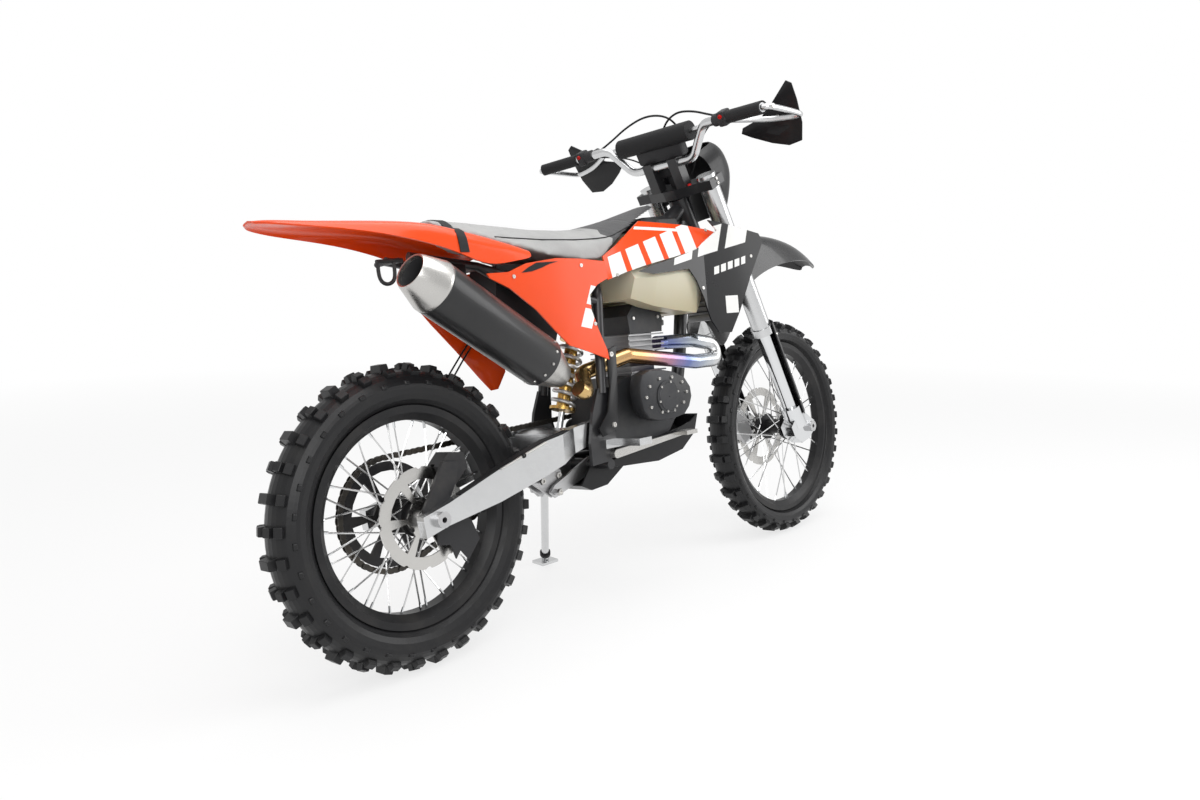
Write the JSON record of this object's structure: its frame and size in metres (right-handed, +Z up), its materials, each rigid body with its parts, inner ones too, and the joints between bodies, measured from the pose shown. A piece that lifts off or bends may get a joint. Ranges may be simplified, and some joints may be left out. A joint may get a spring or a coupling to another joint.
{
  "type": "trail motorcycle",
  "caption": "Enduro motorcycle with steering fork, spoked wheels, chain drive, swingarm, exhaust and side stand, parked leaning on its stand.",
  "frame": {"origin": "on the ground, under the centre of the bounding box of the parked motorcycle", "axes": "+X forwards, +Y to the rider's left, +Z up; the machine leans 7 degrees to its left on its side stand"},
  "size_m": [2.1492, 0.863, 1.3552],
  "materials": {
    "tyre": "glossy block tread",
    "rim_black": "satin black",
    "steel": "brushed",
    "black_steel": "satin black",
    "aluminium": "polished",
    "grey_cast": "dark grey cast",
    "titanium": "heat coloured",
    "orange": "gloss",
    "black_plastic": "satin",
    "seat_cover": "satin grippy cover",
    "tank": "translucent cream",
    "frame_paint": "powder coat",
    "rubber": "matt",
    "chrome": "polished",
    "spring": "painted"
  },
  "bodies": {
    "frame": {"muffler_cap": "steel", "foot_controls": "steel", "front_sprocket": "black_steel", "chain": "black_steel", "linkage": "black_steel", "swingarm": "aluminium", "footpegs": "aluminium", "rear_axle": "aluminium", "rear_caliper": "aluminium", "crankcase": "grey_cast", "clutch_cover": "grey_cast", "flywheel_cover": "grey_cast", "cylinder": "grey_cast", "cylinder_head": "grey_cast", "exhaust_pipe": "titanium", "muffler": "black_steel", "seat": "seat_cover", "fuel_tank": "tank", "airbox": "black_plastic", "shroud_right": "black_plastic", "shroud_left": "black_plastic", "skid_plate": "black_plastic", "rear_disc_guard": "black_plastic", "rear_fender": "orange", "side_panel_right": "orange", "side_panel_left": "orange", "tank_panel_right": "orange", "tank_panel_left": "orange", "shock_absorber": "spring", "main_frame": "frame_paint", "subframe": "frame_paint"},
    "rear_wheel": {"rear_tyre": "tyre", "rear_rim": "rim_black", "rear_disc": "steel", "rear_sprocket": "black_steel"},
    "front_wheel": {"front_tyre": "tyre", "front_rim": "rim_black", "front_disc": "steel"},
    "steering": {"triple_clamps": "frame_paint", "fork_tubes": "aluminium", "fork_legs": "chrome", "fork_guards": "black_plastic", "front_fender": "black_plastic", "number_plate": "black_plastic", "handlebar": "aluminium", "bar_pad": "rubber", "grips": "rubber", "bar_controls": "black_plastic", "handguards": "aluminium", "front_caliper": "aluminium", "front_axle": "aluminium"},
    "side_stand": {"side_stand": "aluminium"}
  },
  "joints": [
    {"name": "steering", "type": "hinge", "parent": "frame", "child": "steering", "pos_m": [0.6769, -0.1101, 0.31962], "axis": [-0.4462, 0.1091, 0.8883], "range_deg": [-44, 44]},
    {"name": "front_wheel_spin", "type": "hinge", "parent": "steering", "child": "front_wheel", "pos_m": [0.72791, -0.107, 0.34486], "axis": [0, 0.9925, -0.1219], "continuous": true},
    {"name": "rear_wheel_spin", "type": "hinge", "parent": "frame", "child": "rear_wheel", "pos_m": [-0.74009, -0.10846, 0.33295], "axis": [0, 0.9925, -0.1219], "continuous": true},
    {"name": "side_stand_fold", "type": "hinge", "parent": "frame", "child": "side_stand", "pos_m": [-0.20709, 0.02395, 0.3036], "axis": [0.1715, 0.8414, 0.5125], "range_deg": [0, 116.8]}
  ]
}
